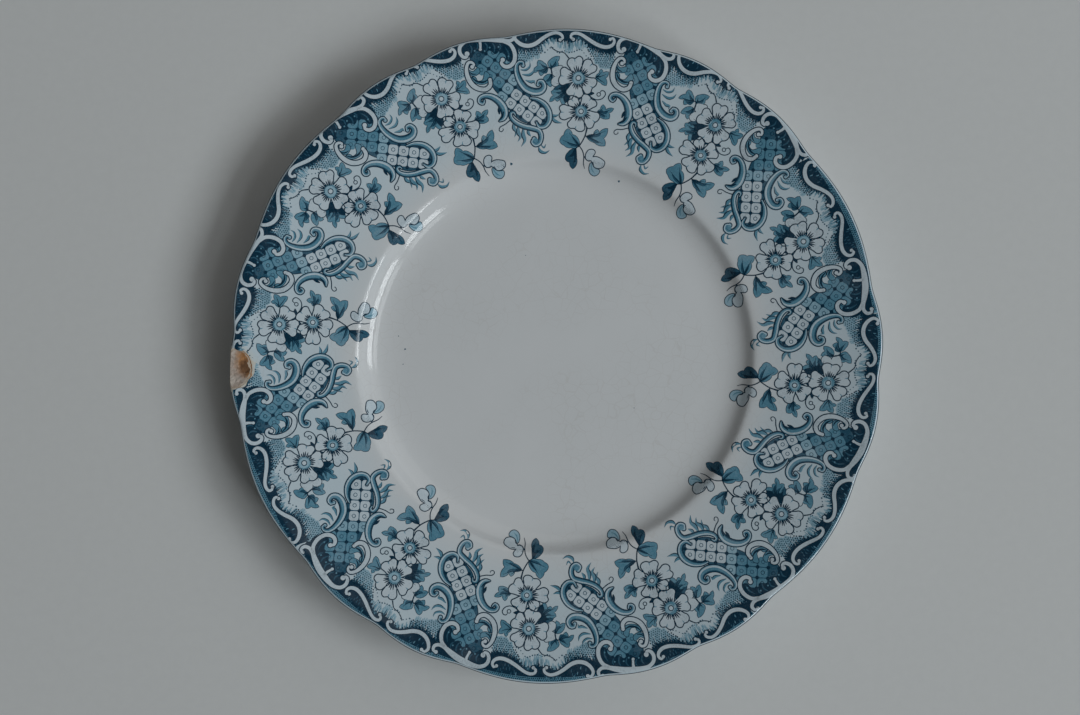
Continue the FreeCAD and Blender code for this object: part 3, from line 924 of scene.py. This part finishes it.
def inked(name, tone, wash):
    # the print lies under the coat, so it has the coat's gloss
    material, tree, shader, (coat, grain) = startMaterial(name, (glazeFilm, inkGrain))
    coat.inputs["Gloss"].default_value = finish["gloss"]
    coat.inputs["Wear"].default_value = finish["wear"]
    colour = inks[tone]
    thin = tuple(a + (b - a) * wash for a, b in zip(colour, finish["glaze"]))
    heavy = tuple(a * (0.80 - 0.5 * wash) for a in colour)
    shade = mixed(tree, times(tree, grain.outputs["Thin"], finish["thinShow"]), colour, thin)
    shade = mixed(tree, times(tree, grain.outputs["Heavy"], finish["heavyShow"]), shade, heavy)
    tree.links.new(shade, shader.inputs["Base Color"])
    tree.links.new(coat.outputs["Roughness"], shader.inputs["Roughness"])
    shader.inputs["IOR"].default_value = finish["bend"]
    addBump(tree, shader, coat.outputs["Height"], strength=0.12, distance=0.0004)
    return material


def makeBiscuit():
    material, tree, shader, (grain,) = startMaterial("biscuit", (firedGrain,))
    colour = mixed(tree, grain.outputs["Mottle"], finish["biscuit"], finish["biscuitPale"])
    tree.links.new(colour, shader.inputs["Base Color"])
    shader.inputs["Roughness"].default_value = 0.85
    addBump(tree, shader, grain.outputs["Height"], strength=0.5, distance=0.0003)
    return material


def makeScar():
    # the broken clay: grey and pale in the middle, brown beside it, rust along the inner edge
    material, tree, shader, (grain,) = startMaterial("chipScar", (firedGrain,))
    colour = mixed(tree, grain.outputs["Mottle"], finish["scarGrey"], finish["scarPale"])
    place = tree.nodes["Texture Coordinate"].outputs["Object"]
    patch = add(tree, "TexNoise", Vector=place, Scale=420.0, Detail=4.0)

    def patchAt(inward, along, small, wide):
        spot = chipWay * (chip["centreR"] - inward) * mm + chipAlong * along * mm
        side = add(tree, "VectorMath", operation="DISTANCE")
        tree.links.new(place, side.inputs[0])
        side.inputs[1].default_value = (*spot, chip["scarZ"] * mm)
        near = times(tree, side.outputs["Value"], times(tree, patch.outputs["Fac"], 0.0040), "SUBTRACT")
        return ramp(tree, times(tree, near, 100.0), ((small, 1.0), (wide, 0.0)))

    rust = patchAt(*chip["rust"])
    brown = patchAt(*chip["brown"])
    colour = mixed(tree, times(tree, rust, finish["rustShow"]), colour, finish["scarRust"])
    colour = mixed(tree, times(tree, brown, finish["brownShow"]), colour, finish["scarBrown"])
    tree.links.new(colour, shader.inputs["Base Color"])
    shader.inputs["Roughness"].default_value = 0.9
    addBump(tree, shader, grain.outputs["Height"], strength=0.8, distance=0.0005)
    return material


glazeMaterial = glazed("whiteGlaze", finish["wear"], True)
underGlaze = glazed("backGlazeFinish", 0.9, False)
biscuitMaterial = makeBiscuit()
scarMaterial = makeScar()
inkMaterials = {}
for tone, wash in finish["thinInk"].items():
    inkMaterials[tone] = inked("ink" + tone.capitalize(), tone, wash)
print("stage: finishes made")

# laying the print: twelve repeats on four lengths of tissue, each a little off its place

tissues = {
    "lengths": {4: (0, 1), 1: (2, 3, 4, 5), 2: (6, 7, 8), 3: (9, 10, 11)},
    "firstTurn": 5.0,
    "offTurn": (-1.1, -1.3, -0.7, -0.3, -0.7, -0.3, 0.0, 0.2, 1.2, 0.7, 0.5, 0.2),
    "offOut": (2.2, 2.5, -0.3, 0.3, 1.0, 1.3, 0.0, 0.3, 0.4, 2.2, 2.2, 3.0),
    "stretch": 0.28,  # how far the wet tissue gave
}


def trimmed(x, y):
    # stops the print at the lip and round the chip; says which points it moved
    turns = np.degrees(np.arctan2(x, y)) % 360
    reach = np.hypot(x, y)
    limit = scalloped(np.full(len(x), lipR - film["edgeGap"]), turns)
    over = reach > limit
    share = np.where(over, limit / np.maximum(reach, 1e-6), 1.0)
    x, y = x * share, y * share
    along = x * chipAlong[0] + y * chipAlong[1]
    across = x * chipWay[0] + y * chipWay[1]
    inward = chip["printFrom"] - across
    angle = np.arctan2(inward, along)
    ragged = 1 + 0.05 * np.sin(5 * angle + 1) + 0.035 * np.sin(11 * angle)
    far = np.hypot(along / chip["printHalf"], inward / chip["printReach"]) / ragged
    hit = (far < 1) & (inward > -2) & (across > 0)
    grow = np.where(hit, 1 / np.maximum(far, 0.05), 1.0)
    along, inward = along * grow, np.where(hit, inward * grow, inward)
    across = chip["printFrom"] - inward
    x = np.where(hit, along * chipAlong[0] + across * chipWay[0], x)
    y = np.where(hit, along * chipAlong[1] + across * chipWay[1], y)
    return x, y, over, hit


def putOn(name, spots, sides, tone):
    piece = addMesh(name, spots, sides)
    piece.data.materials.append(inkMaterials[tone])
    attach(piece, "root")
    return piece


def layTissue(number, repeats):
    sheets = {tone: ([], []) for tone in inks}
    give = tissues["stretch"]
    for k in repeats:
        angle = math.radians(tissues["firstTurn"] + 30 * k + tissues["offTurn"][k])
        for tone, layer, points, faces in art:
            spots, sides = sheets[tone]
            px, py = points.T
            lx = px + give * np.sin(py / 9 + 2.1 * k) * np.cos(px / 13 + k)
            ly = py + tissues["offOut"][k] + give * np.sin(px / 11 + 1.3 * k)
            x = lx * math.cos(angle) + ly * math.sin(angle)
            y = -lx * math.sin(angle) + ly * math.cos(angle)
            x, y, over, hit = trimmed(x, y)
            placed = onFace(x, y, film["lift"] + film["layer"] * layer)
            moved = over | hit
            first = len(spots)
            spots.extend(placed.tolist())
            if not moved.any():
                sides.extend([[c + first for c in f] for f in faces])
                continue
            for f in faces:
                if not moved[f].all():
                    sides.append([c + first for c in f])
    for tone, (spots, sides) in sheets.items():
        sheet = putOn("border" + tone.capitalize() + str(number), spots, sides, tone)
        if tone == "deep":
            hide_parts("border_transfer_" + str(number))


for number, repeats in tissues["lengths"].items():
    layTissue(number, repeats)

# painted shade: a thin dark line in the deep ink colour round the outermost edge, stopped at the chip
paintedLipShade = {"wide": 0.42, "lift": 0.06, "chipGap": 4.1}
outward = np.gradient(faceCurve, axis=0)[:, ::-1] * (-1, 1)
outward = outward / np.hypot(*outward.T)[:, None]
lipCurve = (faceCurve + outward * paintedLipShade["lift"])[faceCurve[:, 0] > lipR - paintedLipShade["wide"]]
lipTurns = np.linspace(paintedLipShade["chipGap"], 360 - paintedLipShade["chipGap"], plate["sectors"]) + chip["turn"]
lipSpots = []
lipSides = []
count = len(lipTurns)
for row, (r, z) in enumerate(lipCurve):
    reach = scalloped(np.full(count, r), lipTurns)
    x = reach * np.sin(np.radians(lipTurns))
    y = reach * np.cos(np.radians(lipTurns))
    lipSpots.extend(np.stack([x, y, np.full(count, z)], 1) * mm)
    if row:
        for i in range(row * count, (row + 1) * count - 1):
            lipSides.append([i, i + 1, i + 1 - count, i - count])
# the painted shade along the lip is laid as its own piece in the deep ink colour
putOn("paintedLipShade", lipSpots, lipSides, "deep")
print("stage: print laid")

# specks of stray ink in the well and on the rim: x, y, radius
specks = [(24.9, 69.2, 0.42), (-17.6, 75.8, 0.5), (-59.8, 2.8, 0.34), (-60.6, -3.2, 0.2),
          (-62.4, 8.0, 0.2), (31.0, -20.5, 0.18), (-12.0, 40.0, 0.16)]
speckSpots = []
speckSides = []
angles = np.arange(9) * math.tau / 9
for x, y, size in specks:
    lumpy = size * (1 + 0.25 * np.sin(3 * angles + x))
    speckSides.append(list(range(len(speckSpots), len(speckSpots) + 9)))
    speckSpots.extend(onFace(x + lumpy * np.cos(angles), y + lumpy * np.sin(angles), film["lift"]))
putOn("blueSpecks", speckSpots, speckSides, "blue")

# the plate

bodyFace = splinePoints(sunk(faceSection, plate["glazeDeep"], (0, -1), (-1, 0)), 8)
bodyBack = splinePoints(sunk(backSection, plate["glazeDeep"], (-1, 0), (-1, 0)), 8)
bodyRecess = splinePoints(sunk(recessSection, plate["glazeDeep"], (1, 0), (0, 1)), 8)
backCurve = splinePoints(backSection, 8)
recessCurve = splinePoints(recessSection, 8)
ringR = (10.0, 20.0, 30.0, 40.0, 50.0)  # rings across the flat middle
bodyZ = plate["wellZ"] - plate["glazeDeep"]
recessTopZ = plate["recessZ"] + plate["glazeDeep"]


def flat(radii, z):
    return [(r, z) for r in radii]


def asRows(curve):
    return [tuple(point) for point in curve]


faceLoop = flat((0.0,) + ringR, plate["wellZ"]) + asRows(faceCurve)
faceOpen = [1.0] * (len(faceLoop) + len(bodyFace) + 6)
faceLoop += asRows(bodyFace[::-1]) + flat(ringR[::-1] + (0.0,), bodyZ)
faceGlaze = lathe("faceGlaze", faceLoop, faceOpen)
backLoop = asRows(backCurve) + asRows(bodyBack[::-1])
backGlaze = lathe("backGlaze", backLoop, [0.0] * len(backLoop))
recessR = (57.0, 30.0, 0.0)
recessLoop = asRows(recessCurve) + flat(recessR, plate["recessZ"])
recessLoop += flat(recessR[::-1], recessTopZ) + asRows(bodyRecess[::-1])
footGlaze = lathe("footGlaze", recessLoop, [0.0] * len(recessLoop))
footOut = [(plate["footOutR"] + 0.2, 0.35), (plate["footOutR"] + 0.15, 0.1), (plate["footOutR"], 0.0)]
footIn = [(plate["footInR"], 0.0), (plate["footInR"] - 0.15, 0.1), (plate["footInR"] - 0.2, 0.35)]
bodyTop = flat((0.0,) + ringR, bodyZ) + asRows(bodyFace)
bodyUnder = asRows(bodyBack[1:-1]) + footOut + footIn + asRows(bodyRecess[1:]) + flat(recessR, recessTopZ)
body = lathe("biscuitBody", bodyTop + bodyUnder, [1.0] * len(bodyTop) + [0.0] * len(bodyUnder))
for piece, node, slot, material in (
    (faceGlaze, "face_glaze", "glaze", glazeMaterial),
    (backGlaze, "back_glaze", "glaze", underGlaze),
    (footGlaze, "foot_recess_glaze", "glaze", underGlaze),
    (body, "biscuit_body", "biscuit", biscuitMaterial),
):
    piece.data.materials.append(material)
    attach(piece, "root")
    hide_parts(node)


def chipBall(name, extra, rough, seed):
    # the scoop that the blow took out, with an uneven face
    depth, half = chip["deep"], chip["halfWide"]
    radius = (half**2 + depth**2) / (2 * depth) + extra
    shape = bmesh.new()
    bmesh.ops.create_icosphere(shape, subdivisions=6, radius=radius * mm)
    shift = Vector((seed, 2.0 * seed, 0.0))
    plan = chipWay * (chip["centreR"] - chip["inward"])
    middle = Vector((*plan, plate["topZ"] - depth + radius - extra)) * mm
    for vert in shape.verts:
        at = vert.co / mm
        swell = noise.fractal(at / 2.6 + shift, 1.0, 2.1, 4) * rough
        ball = vert.co * (1 + swell / radius)
        outward = ball.x * chipWay[0] + ball.y * chipWay[1]
        ball += Vector((*chipWay, 0.0)) * outward * (chip["stretchIn"] - 1)
        vert.co = ball + middle
    mesh = bpy.data.meshes.new(name)
    shape.to_mesh(mesh)
    shape.free()
    mesh.materials.append(scarMaterial)
    ball = bpy.data.objects.new(name, mesh)
    bpy.context.scene.collection.objects.link(ball)
    return ball


def cutAway(piece, ball):
    # takes the ball out of a piece; the cut face keeps the ball's material
    cutter = piece.modifiers.new("chip", "BOOLEAN")
    cutter.operation = "DIFFERENCE"
    cutter.solver = "MANIFOLD"
    cutter.material_mode = "TRANSFER"
    cutter.object = ball
    graph = bpy.context.evaluated_depsgraph_get()
    found = bpy.data.meshes.new_from_object(piece.evaluated_get(graph))
    piece.modifiers.clear()
    piece.data = found


bodyBall = chipBall("bodyBall", 0.0, 0.55, 3.0)
glazeBall = chipBall("glazeBall", chip["glazeBack"], 0.45, 3.0)
cutAway(body, bodyBall)
cutAway(faceGlaze, glazeBall)
cutAway(backGlaze, glazeBall)
for ball in (bodyBall, glazeBall):
    bpy.data.objects.remove(ball)
print("stage: plate made")

# floor, light, camera

room = {
    "cameraHigh": 0.92, "viewWide": 0.4216, "lookAt": (-0.0063, -0.0005), "sensor": 36,
    "floorColour": (0.735, 0.752, 0.756), "skyColour": (1.0, 0.99, 0.94), "sky": 0.050,
}
floor = addMesh("floor", [(-3, -3, 0), (3, -3, 0), (3, 3, 0), (-3, 3, 0)], [[0, 1, 2, 3]], smooth=False)
floorMaterial, floorTree, floorShader, (paperGrain,) = startMaterial("floor", (firedGrain,))
lighter = tuple(c * 1.02 for c in room["floorColour"])
floorTree.links.new(mixed(floorTree, paperGrain.outputs["Mottle"], room["floorColour"], lighter),
                    floorShader.inputs["Base Color"])
floorShader.inputs["Roughness"].default_value = 0.9
floor.data.materials.append(floorMaterial)

lens = bpy.data.cameras.new("camera")
camera = bpy.data.objects.new("camera", lens)
bpy.context.scene.collection.objects.link(camera)
camera.location = (*room["lookAt"], room["cameraHigh"])
lens.sensor_width = room["sensor"]
lipHigh = plate["lipZ"] * mm
lens.lens = room["sensor"] * (room["cameraHigh"] - lipHigh) / room["viewWide"]
lens.clip_start = 0.01
bpy.context.scene.camera = camera

world = bpy.data.worlds.new("studio")
world.use_nodes = True
sky = world.node_tree.nodes["Background"]
sky.inputs["Color"].default_value = (*room["skyColour"], 1)
sky.inputs["Strength"].default_value = room["sky"]
bpy.context.scene.world = world

# two tall windows on the right, each of panes; turns and rises in degrees
windows = {
    "away": 6.0, "colour": (0.93, 0.98, 1.0),
    "bays": ((86.5, 97.5), (98.2, 108.8), (109.5, 120.5), (127.0, 141.5)),
    "rows": ((30.0, 50.0, 5.9), (54.5, 63.5, 2.3)),  # from, to, brightness
}
wall = {"turn": 42.0, "rise": 46.0, "away": 4.0, "wide": 4.4, "high": 3.6, "bright": 0.40,
        "colour": (1.0, 0.99, 0.96)}
bpy.context.scene.view_settings.view_transform = "Standard"


def areaLight(name, turn, rise, away, wide, high, bright, colour):
    # turn and rise point at the lamp from the plate; brightness is of its face
    aim, rise = math.radians(turn), math.radians(rise)
    way = Vector((math.sin(aim) * math.cos(rise), math.cos(aim) * math.cos(rise), math.sin(rise)))
    light = bpy.data.lights.new(name, "AREA")
    light.shape = "RECTANGLE"
    light.size = wide
    light.size_y = high
    light.energy = bright * math.pi * wide * high
    light.color = colour
    lamp = bpy.data.objects.new(name, light)
    bpy.context.scene.collection.objects.link(lamp)
    lamp.location = way * away
    lamp.rotation_euler = way.to_track_quat("Z", "Y").to_euler()


for first, last in windows["bays"]:
    for low, high, bright in windows["rows"]:
        rise = (low + high) / 2
        wide = windows["away"] * math.radians(last - first) * math.cos(math.radians(rise))
        tall = windows["away"] * math.radians(high - low)
        areaLight("pane", (first + last) / 2, rise, windows["away"], wide, tall, bright, windows["colour"])
areaLight("litWall", **wall)
